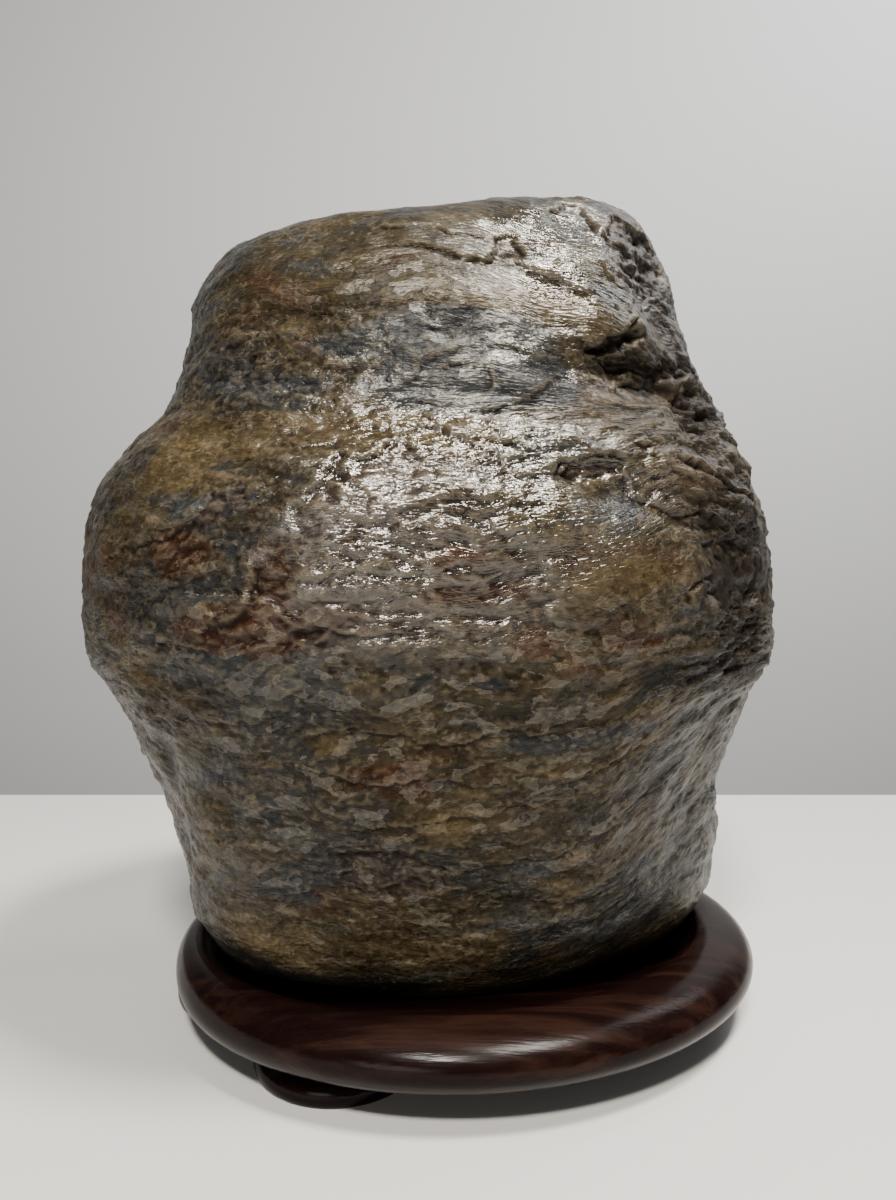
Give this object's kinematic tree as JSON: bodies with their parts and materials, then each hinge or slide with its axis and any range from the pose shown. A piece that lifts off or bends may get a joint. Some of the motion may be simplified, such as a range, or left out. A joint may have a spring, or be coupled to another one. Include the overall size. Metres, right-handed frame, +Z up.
{
  "type": "scholar's rock on a stand",
  "caption": "Upright weathered stone with a broad head, waist and swelling belly, seated in an oval hardwood stand on bun feet.",
  "frame": {"origin": "on the table, under the middle of the object's box", "axes": "+Z up, the rock's broad face looks along -Y, +X to the right of someone who faces it"},
  "size_m": [0.2044, 0.1595, 0.2396],
  "materials": {
    "waxed_stone": "satin",
    "dark_rosewood": "satin"
  },
  "bodies": {
    "root": {"rock": "waxed_stone", "stand_tray": "dark_rosewood", "foot_front": "dark_rosewood", "foot_left": "dark_rosewood", "foot_back": "dark_rosewood", "foot_right": "dark_rosewood"}
  },
  "joints": []
}
